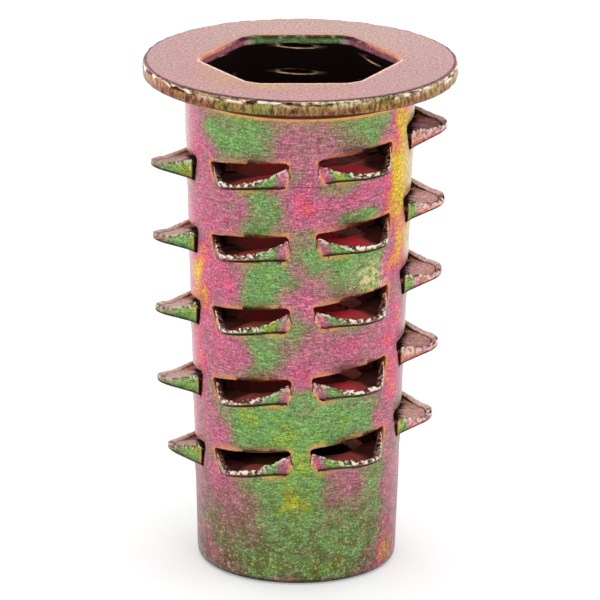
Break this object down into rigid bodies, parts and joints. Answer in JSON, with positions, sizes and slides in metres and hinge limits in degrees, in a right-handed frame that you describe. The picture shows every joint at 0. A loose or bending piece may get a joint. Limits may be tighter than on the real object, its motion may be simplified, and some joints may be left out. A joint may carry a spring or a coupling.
{
  "type": "threaded insert",
  "caption": "Flanged steel screw-in sleeve for wood: hexagonal drive bore, hollow teeth pierced along a right-hand helix, machine thread in its plain lower end.",
  "frame": {"origin": "centre of the lower end face, on the sleeve's axis", "axes": "+Z along the sleeve's axis, from the plain lower end up to the flange; +X through one corner of the hexagonal bore and its column of teeth"},
  "size_m": [0.0144, 0.0144, 0.024],
  "materials": {
    "plated_steel": "yellow chromate on zinc, satin, with iridescent pink, green and gold patches"
  },
  "bodies": {
    "root": {"insert_sleeve": "plated_steel"}
  },
  "joints": []
}
